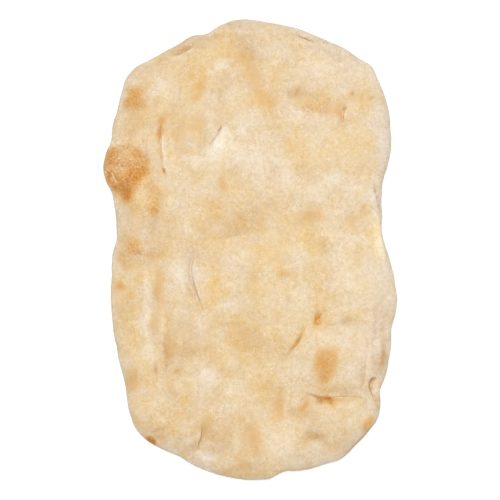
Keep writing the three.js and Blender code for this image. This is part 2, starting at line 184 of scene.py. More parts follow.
# Thin creases, and ridges where the depth is negative
FINE_FOLDS = [
    ("branch of the middle left fold", 0.6, 0.8, 0.2, 0, 0.4, 0.1,
     [(-43, -19), (-39.5, -25), (-36, -30), (-33, -36)]),
    ("seam down the right side", 0.5, 0.7, 0, 0.2, 0.4, 0.2,
     [(77, -46), (76.5, -62), (75.5, -76), (73, -90), (71, -96)]),
    ("second seam down the right side", 0.4, 0.7, 0, 0, 0.3, 0.2,
     [(83, -32), (82, -45), (82.5, -60), (84, -72)]),
    ("nick on the left ridge", 0.6, 0.7, 0, 0.2, 0.8, 0.2, [(-60, -72), (-60.5, -77), (-61.5, -84)]),
    ("edge of the left trough", 0.4, 1.4, 0.2, 0, 0.5, 0.1,
     [(-53.2, -81), (-54.6, -73), (-55.2, -65), (-55.4, -56), (-55, -46)]),
    ("groove below the pillow", 0.5, 0.7, 0, 0.2, 0.4, 0.3, [(-44, 18), (-43, 13), (-42, 8)]),
    ("wrinkle of the blister", 1.6, 0.8, 0, 0.3, 2, 0,
     [(-86.6, 38.5), (-88.8, 44), (-90.8, 48), (-93.2, 50.8), (-98, 53)]),
    ("ridge beside the wrinkle", -0.9, 0.8, 0, 0, -2.4, 0,
     [(-94, 53), (-91, 50.5), (-88.6, 46.5), (-86.5, 42)]),
    ("cream lip on the right edge", -3.6, 1.4, 0, 0, -0.6, -0.2,
     [(75, 28.4), (78.5, 26.4), (81.4, 23.6), (83.2, 19.6), (84.2, 13.5), (84.9, 6.5), (86.7, -2),
      (88.5, -9)]),
    ("floured line on the left ridge", -0.4, 1.2, 0, 0, 0, 0.4,
     [(-64.5, -12), (-66.5, -24), (-67.5, -36), (-70, -46), (-68, -56), (-65.5, -66), (-63.5, -76)]),
    ("lower edge of the upper right valley", 0.5, 1.2, 0, 0.3, 0.5, 0,
     [(55.5, 88.5), (48, 89.8), (40, 92), (32, 96.3)]),
    ("ridge beside the corner fold", -0.9, 1.4, 0, 0, 0, 0.3,
     [(72, -92), (75.5, -95), (78, -99.5), (78.5, -104)]),
    ("tail of the corner fold", 0.9, 0.8, 0, 0.4, 1.3, -0.2,
     [(82.8, -106), (82.2, -101), (80.6, -96.5), (78.8, -92.5), (77.8, -88)]),
    ("stretch mark of the middle", 0.5, 1, 0, 0.2, 0.4, 0, [(3, 66), (10, 60), (17, 53), (21, 47)]),
    ("edge of the middle pillow", 0.4, 1.8, 0.3, 0, 0.2, 0,
     [(14, 24), (2, 13), (-14, 9), (-28, 7), (-36, 2)]),
]

ALL_FOLDS = [Fold(*row) for row in FOLDS + FINE_FOLDS]

# Long low waves left by stretching the dough: length of a wave, turn, height, phase
WAVES = [
    (71, 12, 0.4, 0.4), (57, 97, 0.36, 2.1), (43, 51, 0.26, 4),
    (37, 139, 0.22, 1.2), (29, 170, 0.15, 5.3), (23, 75, 0.12, 3.1),
]

# Unevenness of the skin itself: size of its bumps, height
SKIN_BUMPS = [(17, 0.45), (8, 0.3), (4, 0.17), (2.2, 0.09)]
SKIN_SEED = 11

# Shallow dents of the underside
DENT_SIZE = 9
DENT_DEPTH = 0.5
DENT_SEED = 21

# Shares of the underside between which the unevenness and the paint fade out
SKIN_FADE = (0.3, 0.9)
PAINT_FADE = (0, 0.4)

# The mesh's noise: how many random values it draws, factors that spread its cells over them
NOISE_TABLE = 4096
NOISE_FACTORS = (73856093, 19349663, 83492791)

# Browned places with a clear edge, or a painted highlight where the strength is negative (the blister's pale
# ridge):
# name, how far the edge fades, strength, points of the outline, clockwise
SCORCHED_AND_HIGHLIGHT = [
    ("burst blister", 3, 0.45,
     [(-90, 66.5), (-82, 68.5), (-74, 66.5), (-67.5, 60.5), (-65.5, 53), (-71, 46), (-75.5, 41), (-77, 35),
      (-79, 32), (-84, 35), (-90, 40), (-97, 48), (-99, 56), (-95, 64)]),
    ("lower half of the blister", 8, 0.48,
     [(-90, 47), (-82, 50), (-75, 53), (-66, 52), (-69, 46), (-73, 41), (-75, 35), (-79, 31), (-85, 34),
      (-90, 40)]),
    ("bubble's spot", 8, 0.52,
     [(44, -66), (50, -64.5), (55, -66.5), (56.5, -72), (54.5, -79), (51, -85.5), (46.5, -85.5), (43, -79),
      (42, -72)]),
    ("upper right band", 7, 0.15,
     [(27, 104), (35, 102.5), (45, 98), (56, 96.5), (62, 95), (61, 88), (54, 88), (46, 88.5), (38, 90.5),
      (30, 95.5)]),
    ("burnt corner", 2.5, 1.1,
     [(-68.3, -122.6), (-65.5, -121.2), (-62.4, -122.6), (-61, -125), (-63, -127.5), (-67, -125.6)]),
    ("browned corner", 4, 0.54,
     [(79, -108.5), (80, -112), (77.5, -116), (73.5, -118), (73, -115), (75, -111)]),
    ("pale ridge of the blister", 1, -0.3,
     [(-93.6, 53.2), (-91, 51.6), (-88.6, 48.6), (-86.8, 45), (-85.6, 41.4), (-86.8, 41.6), (-88.6, 45.2),
      (-90.4, 48.4), (-92.4, 50.8)]),
    ("pit above the bubble", 3, 0.33,
     [(44, -39), (45.8, -44), (46, -48), (43.5, -50), (40.5, -48.5), (42, -44)]),
]

# Floured places with a clear edge, in the same columns
FLOURED = [
    ("floured hollow", 4, 0.4,
     [(-17.5, 81), (-12, 74), (-10, 67), (-14, 61.5), (-28, 62), (-25.5, 67.5), (-21.5, 73.5)]),
]

# Patches that fade out, each list from the top end of the bread to the bottom end:
# x, y, half width across, half width along, strength, which takes away where it is negative, and turn if any

# Dark marks in folds and pits: partly brown and burnt marks, partly painted shade in the creases and along
# the lower right edge
BROWN_MARKS_AND_SHADE = [
    (-10, 145.5, 2, 5, 0.9, 80), (36, 137.1, 0.8, 6, 2, 70), (-39.5, 131, 0.9, 3, 1.6, -60),
    (-45, 129, 2, 5.5, 0.7, -65), (30.3, 102, 0.9, 3.2, 0.7, -25), (66.7, 101.4, 1.1, 0.9, 1.2),
    (66.2, 101.2, 2, 1.7, 0.4), (78.8, 98.4, 0.9, 2.4, 1.7, 88), (25, 98, 2.5, 3.5, 0.15),
    (60.8, 93.2, 0.8, 0.9, 0.8), (61.2, 91.2, 0.9, 1.4, 1.5, -25), (59, 86, 1, 3, 0.3),
    (-19.8, 77.8, 0.8, 2.8, 1.8, -30), (-23.2, 72, 0.9, 5.5, 0.6, -37), (-58.3, 68, 0.7, 8, 0.8, 3),
    (-66.5, 61, 1.3, 5, 0.8, 10), (-57.4, 58, 0.8, 4, 0.8, 14), (-55.7, 51.3, 0.9, 2.4, 2, 32),
    (-91.4, 46.5, 1.4, 2.6, 0.6, 10), (-65, 42, 3, 4.5, 0.7), (-87.5, 40.5, 1, 1.2, 0.8),
    (81.2, 38.2, 0.9, 2.2, 1.6, 10), (74, 28, 1.3, 2, 0.8, -40), (-73, -2, 2.5, 3, 0.8),
    (-37, -4, 1, 8, 0.3, 3), (-34.4, -4, 2, 6, 0.7), (-34.6, -28.5, 0.8, 8, 0.8, 16),
    (44.8, -43, 0.7, 2.2, 1.5, 15), (42.6, -45.6, 0.8, 2.4, 1.6, -20), (84.6, -51.3, 1.3, 1, 0.9),
    (31, -59, 0.8, 2.6, 0.8, -32), (-54.4, -68, 1, 7, 0.3, 2), (86, -71, 3, 7, 0.9, -15),
    (-54, -76.3, 0.8, 1.6, 0.5, 30), (-48.3, -79.5, 0.8, 2.3, 0.6, -35), (-60.5, -81, 1.5, 4, 0.9, 5),
    (80, -84.8, 1.6, 2.8, 2.6, -52), (78, -89, 1, 3, 0.4), (38.5, -94, 1, 3, 0.8, 70),
    (43, -95.2, 1, 3, 1.5, 70), (48.3, -96.4, 1.3, 2.2, 1.2, 60), (45, -97.6, 1.6, 2.4, 1.5, 20),
    (52, -98.2, 1.5, 2.8, 1.7, 30), (-60.5, -117.6, 0.8, 3.2, 0.7, -68), (-62.5, -120.5, 2, 5, 0.2, 62),
    (41, -121, 6, 2.5, 1.3), (-57.5, -121.7, 2.5, 4, 1, 62), (72, -122.8, 0.9, 10, 1.5, -42),
    (-63.8, -124, 1.2, 2, 1.3, 60), (-33, -126, 0.9, 5, 0.9, -15), (-37, -128, 2.5, 6, 0.9, -15),
]

# Tan patches without much colour, many of them painted shade on flanks, in dips and along the rim; where
# negative they take tan away, on lips and ridges as a painted highlight
TAN_SHADE_AND_HIGHLIGHT = [
    (20, 141, 4, 13, 0.4, 75), (10, 138, 9, 4, -0.3), (-30, 136, 5, 20, 0.7, -75),
    (50, 133, 3, 10, 0.4, 66), (-2, 132, 7, 16, 0.9, 20), (5, 132, 7, 8, 0.2),
    (-14, 128, 5, 16, 0.25, -15), (-55, 124, 5, 16, 0.5, -60), (-17, 122, 7, 7, 0.3),
    (-73, 116, 5, 5, 0.5), (-14, 112, 4, 4, 0.5), (45, 105, 5, 4, -0.3), (-20, 103, 8, 8, 0.3),
    (25, 102, 3.5, 4, 0.5), (31, 101, 4, 5, 0.3, 72), (23, 100, 4, 4, 0.3), (-12, 97, 8, 6, -0.35),
    (-52, 90, 8, 10, 0.4), (36, 90, 6, 4, 0.35, -20), (-72, 88, 10, 14, 0.5), (89, 86, 3, 12, 0.3),
    (60.5, 80.6, 1, 3, 0.4, 85), (-82, 74, 8, 10, 0.5), (-82, 57, 8, 9, 0.2), (36, 54, 7, 9, 0.4),
    (-14, 53, 10, 8, 0.4), (-88, 52, 2.2, 2.2, -0.6), (-62, 52, 4.5, 6, 0.6), (14, 46, 6, 8, 0.7),
    (-86.9, 43.6, 1.7, 3.6, -0.9, 25), (-84, 37, 2.5, 2.5, -0.4), (6, 32, 9, 8, 0.4), (15, 32, 8, 7, 0.35),
    (-80, 26, 6, 8, 0.3), (-26, 22, 15, 9, 0.4), (-66, 20, 8, 8, 0.3), (-6, 18, 8, 24, 0.8, -70),
    (42, 16, 6, 5, 0.15), (-5, 11, 10, 5, 0.2, 20), (-72, 8, 16, 16, 0.7), (82, 8, 4, 14, -0.6, 8),
    (47, 3, 3.5, 6, 0.6), (-52, 0, 12, 14, 0.6), (79, 0, 3.5, 6, -0.6), (-83, -6, 4, 4, 0.4),
    (-70, -6, 6, 6, 0.4), (70, -9, 3, 3, 0.5), (-88, -10, 3, 5, -0.4), (52, -13, 5, 4, -0.3),
    (-56, -20, 4, 8, 0.2), (-15, -22, 8, 10, -0.3), (40, -22, 3.5, 5, -0.3), (-83.5, -23, 2.5, 3.5, -0.6),
    (-37.8, -25, 1, 3.5, -0.8, 20), (-50, -30, 5, 8, -0.4), (-70, -32, 4, 6, 0.35), (85, -40, 4, 28, 0.4),
    (90, -42, 4, 14, 0.5), (-80, -45, 8, 14, 0.4), (-10, -45, 15, 7, 0.4), (62, -46.5, 3.5, 2.5, 0.6),
    (75, -47, 4, 3, 0.35), (-62, -48, 5, 5, 0.3), (34, -48, 8, 16, -0.35), (-46, -58, 13, 14, 0.6),
    (-5, -58, 10, 8, 0.3), (5, -60, 11, 9, 0.8), (83, -60, 5, 32, 0.4), (81, -62, 3, 8, 0.35),
    (-86, -65, 4, 16, 0.3, 8), (-4, -67, 7, 6, 0.4), (-38, -67.5, 10, 2.5, 0.4, 5), (-32, -68, 12, 8, 0.5),
    (-81, -70, 4, 35, 0.3, 8), (86, -70, 4, 14, 0.3), (49, -73, 7, 9, -0.3), (-52, -74, 9, 9, 0.8),
    (-20, -74, 8, 6, 0.3), (81, -75, 3, 6, 0.5), (73, -82, 3, 11, 0.8, 5), (65, -85, 5, 5, 0.4),
    (58, -91, 18, 4, 0.8), (-12, -92, 7, 7, -0.4), (15, -93, 11, 8, 0.6), (-40, -99, 7, 9, 0.3),
    (75.9, -99.6, 1, 3, 0.6, 20), (37, -102, 7, 8, 0.7), (27, -103, 3, 4, 0.5), (28, -107, 3, 6, 0.6, -15),
    (-76, -108, 4, 14, 0.4, 15), (72, -109, 5, 5, -0.5), (-72, -110, 4, 7, 0.2, 20),
    (-52, -112, 14, 8, 0.4), (76.5, -113, 3, 3.5, -0.8), (-67, -117, 5, 5, 0.4), (-18, -119, 14, 11, 0.8),
    (-48, -124, 12, 6, 0.5, 30), (42, -124, 8, 4, 0.8), (57, -128, 7, 5, 0.5, 30),
    (64, -129, 6, 4, 0.5, 40), (-22, -130, 8, 5, 0.4, 20), (-43, -131, 5, 3, 0.4, 30),
    (5, -138, 8, 5, 0.3), (-5, -141, 7, 3, 0.5), (34, -142, 8, 3, 0.4), (-16, -145, 7, 3, 0.5, 20),
    (5, -146, 22, 5, 0.5),
]

# Browned patches; the negative ones take browning away, those on the blister as painted highlight streaks
TOAST_AND_HIGHLIGHTS = [
    (-7, 124, 5, 6, 0.13), (-29.5, 113, 2.6, 6, 0.18), (2, 111, 5, 9, 0.27, 28),
    (-32.5, 105.3, 4, 4.5, 0.32), (-69, 104, 4, 3, 0.2), (67, 100, 4, 4, 0.15),
    (27.5, 99.5, 2.5, 4, 0.12, -40), (9, 99, 5, 8, 0.22, 25), (-35.5, 98, 3.5, 2.8, 0.33),
    (-74, 97.3, 6.5, 8, 0.7, 10), (-81, 92, 3.5, 4.5, 0.4), (58.2, 88.8, 2.8, 4.5, 0.28),
    (14, 88, 4, 6, 0.08, 15), (-54.8, 86, 2.5, 4.5, 0.15, -30), (-33, 84, 4, 6, 0.2), (-41, 82, 4, 4, 0.2),
    (-21.5, 82, 2.5, 2.5, 0.2), (-57.2, 77.5, 2.7, 7, 0.48, -4), (-36, 76, 4, 4, 0.15),
    (-46, 75, 5, 6, 0.25), (-48.5, 71, 1.8, 1.8, 0.15), (-31, 71, 3, 4, 0.08, -30),
    (-82, 67.3, 6, 3, -0.28), (-42, 64, 7, 3, 0.2), (-82, 63.4, 3, 0.8, -0.2), (-90, 63, 3, 3, -0.1),
    (-87, 62, 4, 4, 0.1), (-72, 61, 4, 4, 0.2), (-91, 60, 2, 3, 0.4), (-82.5, 60, 2.6, 0.8, -0.2, 4),
    (-89.5, 58, 4, 7, 0.2), (-69, 58, 2.5, 2.5, 0.1), (-74, 57.6, 4.5, 0.8, -0.2, -4),
    (-66.5, 56, 0.8, 3, -0.15, 15), (-92.5, 55, 2, 2.5, 0.12), (-91, 55, 2, 3, 0.1), (-84, 55, 3, 3, 0.07),
    (-75, 54.5, 3.5, 2.5, 0.15), (-71.5, 53.5, 3, 3, 0.12), (-70, 52, 3, 3, -0.1),
    (-55.6, 51.3, 1, 2.2, 0.3, 30), (-84, 51, 4, 4, -0.12), (-82, 50, 3.5, 2.5, -0.16),
    (-68, 50, 2.5, 2.5, 0.16), (-69.5, 49.5, 3, 4, 0.05), (-91, 48, 2, 2.5, 0.1), (-85, 48, 4, 4, -0.1),
    (-91.4, 46.3, 1.8, 3.2, 0.7, 10), (-87.7, 45.5, 1.2, 4, 0.08, 25), (-85, 42, 3.5, 4, -0.22, 20),
    (-18, 42, 4, 6, 0.33), (-80, 41, 3, 3, 0.18), (-80, 38, 5, 7, 0.1, 5), (-84, 37, 2.5, 2.5, -0.15),
    (-62, 36, 4, 7, 0.3), (-79, 33, 2.5, 2.5, 0.12), (-61.5, 28, 3.5, 4, 0.2), (-73, 27, 4, 4, 0.15),
    (-64.5, 26.5, 2.8, 2.2, 0.35), (-62, 24.5, 2.2, 2.8, 0.4), (75.5, 24, 3, 4, 0.2), (40, 22, 7, 4, 0.33),
    (67, 19, 6, 4, 0.15), (33, 18, 4, 2.5, 0.15), (-75, 1, 4, 5, 0.5), (-64, -4, 4, 3, 0.2),
    (-83, -6, 3.5, 5, 0.28), (-78, -11, 5, 3, 0.18), (22, -15.5, 4, 3.5, 0.33),
    (-84.6, -23.7, 3, 3.2, 0.55), (-85, -27, 3.5, 3, 0.1), (-59, -27, 3, 13, 0.35, 2),
    (-77.5, -29.5, 3, 3, 0.28), (44.6, -42.5, 1.2, 3, 0.4), (-62.5, -48, 2.5, 5, 0.2),
    (86.5, -51, 1.8, 1.6, 0.2), (-6, -57, 8, 9, 0.17), (-53.2, -61, 2.4, 13, 0.13, 3),
    (28.2, -63.5, 1, 6.5, 0.3, -34), (-40, -68, 6, 3, 0.1), (-54, -70, 2, 6, 0.15),
    (86, -70, 2.5, 7, 0.2, -15), (47.5, -77, 4, 8, 0.09), (-47.8, -79, 0.9, 2.6, 0.2, -35),
    (-76, -84, 4, 6, 0.35), (80.5, -85.6, 2.4, 2, -0.18, 30), (-50, -91, 2.5, 5, 0.2),
    (48, -97.6, 5.5, 2.4, 0.48), (58, -97.8, 9, 1.6, 0.28), (54, -100, 5, 2.5, 0.25),
    (34.3, -101, 1.8, 4.5, 0.38, -30), (18.5, -102, 3.5, 9, 0.32, -8), (-29, -115, 3, 5, 0.2),
    (-67, -117, 4, 4, 0.08), (2, -122, 5, 8, 0.28), (-61, -126, 1.5, 3, 0.15, 62),
    (-43, -131, 5, 3, 0.1, 30), (-5, -140, 5, 3, 0.15), (-15, -145, 5, 3, 0.1),
]

# Golden patches
GOLD = [
    (-17, 130, 11, 7, 0.5), (-50, 121, 7, 5, 0.35, 30), (-17, 118, 6, 6, 0.2), (5, 118, 20, 8, 0.35),
    (-40, 114, 11, 14, 0.3), (-26, 111, 6, 8, 0.45), (6, 100, 6, 12, 0.3, 25), (-76, 98, 6, 7, 0.4),
    (70, 96, 12, 8, 0.25), (-50, 88, 7, 10, 0.35), (-70, 86, 8, 8, 0.4), (70, 80, 6, 4, 0.25),
    (27, 70, 8, 10, 0.2), (70, 69, 9, 10, 0.4), (-57, 66, 5, 12, 0.4), (-89, 60, 6, 7, 0.15),
    (82, 60, 4, 12, 0.25), (36, 54, 7, 9, 0.3), (64, 54, 6, 6, 0.35), (-69, 49, 5, 6, 0.4),
    (-72, 42, 3, 7, 0.5, 40), (-80, 35.5, 3, 5, 0.6), (0, 27, 8, 8, -0.25), (-26, 22, 15, 9, 0.55),
    (42, 16, 6, 5, 0.25), (26, 12, 13, 11, 0.5), (-5, 11, 10, 5, 0.25, 20), (80.5, 8, 4.5, 14, 0.75, 8),
    (-20, 4, 5, 16, 0.7, 85), (12, -2, 14, 8, 0.65), (42, -5, 5, 8, 0.5), (-3, -8, 5, 4, 0.25),
    (70, -8.5, 3, 3, 0.7), (8, -12, 6, 6, 0.35), (-68, -14, 10, 10, 0.4), (-56, -20, 4, 8, 0.3),
    (40, -22, 4, 5, 0.25), (-23, -23, 5, 12, 0.65), (-15, -27, 6, 5, 0.25), (2, -28, 9, 9, 0.4),
    (44, -28, 4, 12, 0.5), (-20, -34, 4, 6, 0.3, -30), (-27, -37, 3, 3, 0.2), (69, -43.5, 8, 5, 0.7),
    (45, -44, 6, 8, 0.4), (-61, -45, 6, 7, 0.3), (-10, -45, 15, 7, 0.6), (-54, -48, 5, 12, 0.2),
    (44, -50, 4, 5, 0.4), (-76, -55, 7, 28, 0.6, 3), (32, -57, 4.5, 11, 0.7, -34),
    (-85, -60, 3, 16, 0.4, 8), (12, -60, 12, 12, 0.2), (29, -61, 4, 8, 0.3, -34), (-8, -64, 10, 9, 0.5),
    (-30, -66, 10, 8, 0.5), (-53, -70, 4, 10, 0.2), (-20, -74, 8, 6, 0.5), (49, -75, 6, 9, 0.35),
    (49, -76, 12, 15, 0.25), (65, -85, 5, 5, 0.2), (-60, -86, 8, 5, 0.4), (5, -86, 8, 9, 0.5),
    (80.8, -87.4, 2.4, 3, 0.9), (52, -88, 18, 5, 0.2), (-12, -92, 7, 7, 0.15), (15, -93, 11, 8, 0.6),
    (-40, -99, 7, 9, 0.5), (62, -100, 12, 4, 0.6), (33, -103, 6, 5, 0.3), (60, -103, 9, 4, 0.3),
    (-75, -108, 3, 12, 0.5, 15), (-72, -110, 4, 7, 0.2, 20), (-52, -112, 14, 8, 0.3),
    (71, -112, 5, 4, 0.3), (76, -113, 5, 4, 0.5), (-8, -118, 7, 10, 0.4), (5, -138, 8, 5, 0.2),
    (0, -145, 16, 4, 0.5),
]

# Floured and pale patches
FLOUR = [
    (-5, 141, 4, 12, 0.2, 85), (-27, 140, 4, 6, 0.15, -70), (22, 140, 4, 12, 0.2, 75),
    (38, 139, 3, 16, 0.4, 68), (56, 132, 5, 16, 0.2, 60), (-17.5, 119.5, 2.6, 6.5, 0.65, -60),
    (70, 117, 8, 8, 0.2), (78, 117, 5, 9, 0.45, 35), (48, 116, 10, 10, 0.35), (80, 107, 4, 6, 0.25, 25),
    (-57, 106, 4, 7, 0.4), (60, 103, 5, 5, 0.3), (-12, 97, 7, 5, 0.12), (-84, 88, 4, 14, 0.25),
    (30, 86, 7, 5, 0.35), (-3, 84, 6, 10, 0.2, 10), (86, 82, 5, 22, 0.35), (-21, 69, 5, 8, 0.6, -30),
    (-7, 68, 7, 13, 0.25), (-56, 66, 1.3, 12, 0.4, 4), (25, 61, 6, 6, 0.15), (-17, 58, 8, 5, 0.2),
    (-27, 57, 12, 5, 0.4), (-53, 56, 3, 4, 0.4), (8, 56, 11, 18, 0.4), (24, 50, 5, 9, 0.4, 20),
    (55, 46, 8, 6, 0.4), (18, 42, 6, 6, 0.35), (52, 42, 8, 7, 0.2), (70, 40, 8, 7, 0.35),
    (40, 38, 8, 6, 0.45), (82, 37, 5, 10, 0.25), (80, 36, 4, 8, 0.1), (80, 34.5, 1.6, 5, 0.35, 8),
    (84, 34, 2, 8, 0.2, 8), (55, 8, 7, 7, 0.35), (68, 6, 7, 5, 0.35), (-9, -2, 7, 5, 0.4),
    (32, -4, 4, 5, 0.25), (-50, -14, 4, 9, 0.3), (-35, -14, 2, 12, 0.25, 3), (-45, -18, 3, 11, 0.5, 2),
    (60, -18, 8, 16, 0.3), (-76.5, -19, 3, 4, 0.3), (-16.5, -20, 4, 6, 0.3), (-30, -24, 2, 6, 0.3),
    (78, -25, 14, 15, 0.4), (-67, -30, 1.5, 20, 0.45, 2), (32, -30, 7, 12, 0.15), (-13, -37, 7, 4, 0.4),
    (90, -40, 5, 32, 0.3), (-36, -42, 8, 8, 0.12), (-69.5, -47, 2.2, 6, 0.5), (58, -57, 13, 7, 0.4),
    (10, -60, 6, 6, 0.18), (75, -62, 6, 13, 0.35), (82, -63, 2.2, 10, 0.5), (-65, -68, 4, 5, 0.45),
    (-35, -72, 6, 4, 0.25), (66, -74, 7, 12, 0.35), (30, -76, 6, 8, 0.45), (38, -80, 3, 7, 0.35),
    (-28, -81, 8, 8, 0.5), (-59, -86, 3, 4, 0.35), (82, -90, 2, 5, 0.45), (-13, -91, 7, 6, 0.35),
    (74, -95, 3, 6, 0.25, 30), (62, -100, 12, 4, 0.15), (78.5, -100.5, 2, 4, 0.4), (66, -101, 6, 3, 0.3),
    (-42, -114, 6, 6, 0.3), (-8, -124, 3, 4, 0.4), (21, -125, 9, 13, 0.35), (40, -130, 8, 5, 0.25),
    (-28, -134, 3, 9, 0.6, 75),
]

# Patches of finely crinkled skin, with the crinkles' light and shade painted in
CRINKLED = [
    (-75, 98, 9, 9, 0.5), (43, 93, 18, 5, 0.5, 20), (-82, 52, 17, 19, 1), (-63, 28, 5, 8, 0.8),
    (-76, 0, 9, 9, 0.6), (43.5, -45, 3, 6, 0.8), (49, -76, 8, 11, 0.25), (48, -97.5, 7, 3, 0.6),
]

# Creamy dough on lips, ridges and the rim, brightened as a painted highlight where their slopes would be
# shaded
CREAM_AND_HIGHLIGHT = [
    (61.4, 87.5, 0.6, 2.6, 0.6, -12), (-87.7, 45.5, 1, 5, 0.9, 25), (81.8, 23.2, 1.8, 4.8, 0.8, 40),
    (85, 5, 5, 15, 1, 10), (82.9, -91, 1.4, 3.6, 0.9, 4), (78, -98.6, 1.2, 3.8, 0.8, 14),
    (76.4, -112.6, 2.2, 2.8, 0.7),
]

# Painted cool, greyish shade in folds, dips and along the rim
COOL_SHADE_PATCHES = [
    (5, 132, 7, 8, 0.5), (50, 130, 6, 18, 0.6, 62), (-80, 110, 4, 9, 0.4, -30),
    (-22.3, 72.5, 2, 9, 0.6, -37), (85, 70, 6, 42, 0.6, 2), (-56.8, 52.6, 1.8, 3, 0.6, 30),
    (79.5, 32, 2, 6, 0.5, 8), (83.3, 31, 1.6, 8, 0.8, 10), (-88, 18, 3, 15, 0.6),
    (-38, -13, 2.4, 13, 0.6, 3), (83, -62, 5, 24, 0.4), (41, -110, 7, 8, 0.5), (70, -123, 4, 14, 0.9, -45),
    (-40, -130, 5, 18, 0.6, 62), (-22, -130, 8, 5, 0.4, 20),
]

# How clear the patches' edges are, and what makes them ragged: how far, size, seed
PATCH_SHARPNESS = 1.3
PATCH_WARP = (1.6, 5, 31)
MARK_WARP = (0.6, 2, 33)

# How brown the dark marks are, and how strongly painted shade darkens the hollows of the uneven skin and
# painted light brightens its bumps
MARK_TOAST = 0.12
PAINTED_RELIEF_SHADE = 0.5

# Colours of the skin, linear; a stain of strength 1 keeps the given shares of the colour under it
DOUGH_COLOUR = (0.775, 0.61, 0.417)
SIDE_COLOUR = (0.775, 0.65, 0.51)
# Colour of the painted cool shade along the rim's edge
EDGE_SHADE_COLOUR = (0.77, 0.66, 0.54)
# Colour of the creamy dough and its painted highlight
CREAM_AND_HIGHLIGHT_COLOUR = (0.89, 0.77, 0.6)
# Colour of the painted cool shade
COOL_SHADE_COLOUR = (0.74, 0.625, 0.54)
FLOUR_COLOUR = (0.88, 0.775, 0.635)
GOLD_KEEPS = (1.03, 0.92, 0.64)
# The tan stain also carries painted shade, and lightens as a painted highlight where its patches are
# negative
TAN_SHADE_KEEPS = (0.88, 0.82, 0.75)
TOAST_KEEPS = (0.82, 0.5, 0.22)
BURN_KEEPS = (0.6, 0.35, 0.17)
GRAIN_DARK = (0.893, 0.86, 0.835)
GRAIN_LIGHT = (1.107, 1.14, 1.165)
CRUMB_DARK = (0.897, 0.883, 0.86)
CRUMB_LIGHT = (1.103, 1.117, 1.14)
# Painted shade and light of the fine crinkles of browned skin, partly speckled browning
CRINKLE_DARK = (0.69, 0.56, 0.45)
CRINKLE_LIGHT = (1.31, 1.4, 1.5)

# Stains: steps of their ramps, strengths at which they stop, strength of what is burnt
STAIN_STEPS = 6
TAN_SHADE_LIMIT = 4
GOLD_LIMIT = 1.4
TOAST_LIMIT = 1
BURN_STRENGTH = 1.7

# Noises of the crust: size in millimetres, detail, roughness
NOISES = {
    "cloud": (20, 3, 0.55),
    "speckle": (11, 4, 0.6),
    "mottle": (7, 4, 0.6),
    "crumb": (2.6, 3, 0.6),
    "crinkle": (1.35, 3, 0.6),
    "grain": (0.9, 2, 0.6),
}
NOISE_MIDDLE = (0.25, 0.75)

# What the middle of a noise's range maps onto, evenly
TAN_BY_SPECKLE = (-0.3, 0.6)
GOLD_BY_MOTTLE = (0.5, 1.3)
TOAST_BY_CRUMB = (0.35, 1.65)
TOAST_BY_GRAIN = (0.5, 1.5)
FLOUR_BY_CRUMB = (0.5, 1.3)
GRIT_BY_GRAIN = (-0.5, 0.5)
GRIT_MIDDLE = 0.5

# A range of a noise or of a mask, and what it maps onto, smoothly
# Where the painted shade of the rim's edge lies, by the share of the top and of the underside
EDGE_SHADE_BY_TOP = (0, 0.6, 1, 0)
EDGE_SHADE_BY_UNDERSIDE = (0, 0.3, 1, 0)
GOLD_BY_CLOUD = (0.42, 0.68, 0, 0.4)
GOLD_BY_SPECKLE = (0.42, 0.62, 0, 0.3)
UNDERSIDE_GOLD = (0.35, 0.65, 0.5, 1.1)
UNDERSIDE_TOAST = (0.5, 0.7, 0.1, 0.7)
DUST_BY_MOTTLE = (0.52, 0.72, 0, 0.24)
FLOUR_BY_TOAST = (0.1, 0.4, 1, 0)
GRIT_BY_MOTTLE = (0.38, 0.62, 0.35, 1.5)
GRIT_BY_FLOUR = (0, 0.5, 1.05, 0.6)
CRINKLE_BY_TOAST = (0.05, 0.4, 0, 0.2)
CRINKLE_BY_TAN = (0.3, 1.5, 0, 0.25)
ROUGHNESS_BY_MOTTLE = (0.3, 0.7, 0.75, 0.9)

# Finish of the crust and the floor, lengths in millimetres
CRUST_SPECULAR = 0.2
BUMP_STRENGTH = 0.5
BUMP_DEPTH = 0.6
BUMP_CRUMB_SHARE = 0.7
BUMP_GRAIN_SHARE = 0.3
FLOOR_COLOUR = (0.45, 0.45, 0.45)
FLOOR_GLOW = 0.65
FLOOR_ROUGHNESS = 0.9
FLOOR_REACH = 3000
FLOOR_DROP = 0.1

# Light: an even sky and one large lamp high above, in metres
SKY_COLOUR = (0.92, 0.96, 1, 1)
SKY_STRENGTH = 0.35
KEY_PLACE = (-0.05, 0.2, 1.7)
KEY_SIZE = 0.8
KEY_WATTS = 23.5

# Camera: straight above, with the bread upright in a square picture; its distance is in metres
PICTURE_PIXELS = 500
BREAD_PIXELS = 461
BREAD_MIDDLE_ROW = 249.5
CAMERA_DISTANCE = 2.2
SENSOR = 36


def smoothstep(low, high, value):
    t = np.clip((value - low) / (high - low), 0, 1)
    return t * t * (3 - 2 * t)


def lattice_noise(points, size, seed):
    """Smooth noise from -1 to 1 with bumps of about the given size, at points in millimetres."""
    table = np.random.default_rng(seed).uniform(-1, 1, NOISE_TABLE)
    cell = np.floor(points / size).astype(np.int64)
    part = points / size - cell
    ease = part ** 3 * (part * (part * 6 - 15) + 10)
    total = np.zeros(len(points))
    for corner in itertools.product((0, 1), repeat=3):
        node = cell + corner
        mixed = np.bitwise_xor.reduce(node * NOISE_FACTORS, axis=1)
        weight = np.prod(np.where(corner, ease, 1 - ease), axis=1)
        total += weight * table[mixed % len(table)]
    return total


def distance_in_feature(x, y, feature_x, feature_y, across, along, turn=0):
    """Squared distance from a feature's middle, in units of its half widths."""
    angle = math.radians(turn)
    dx = x - feature_x
    dy = y - feature_y
    u = dx * math.cos(angle) + dy * math.sin(angle)
    v = dy * math.cos(angle) - dx * math.sin(angle)
    return (u / across) ** 2 + (v / along) ** 2


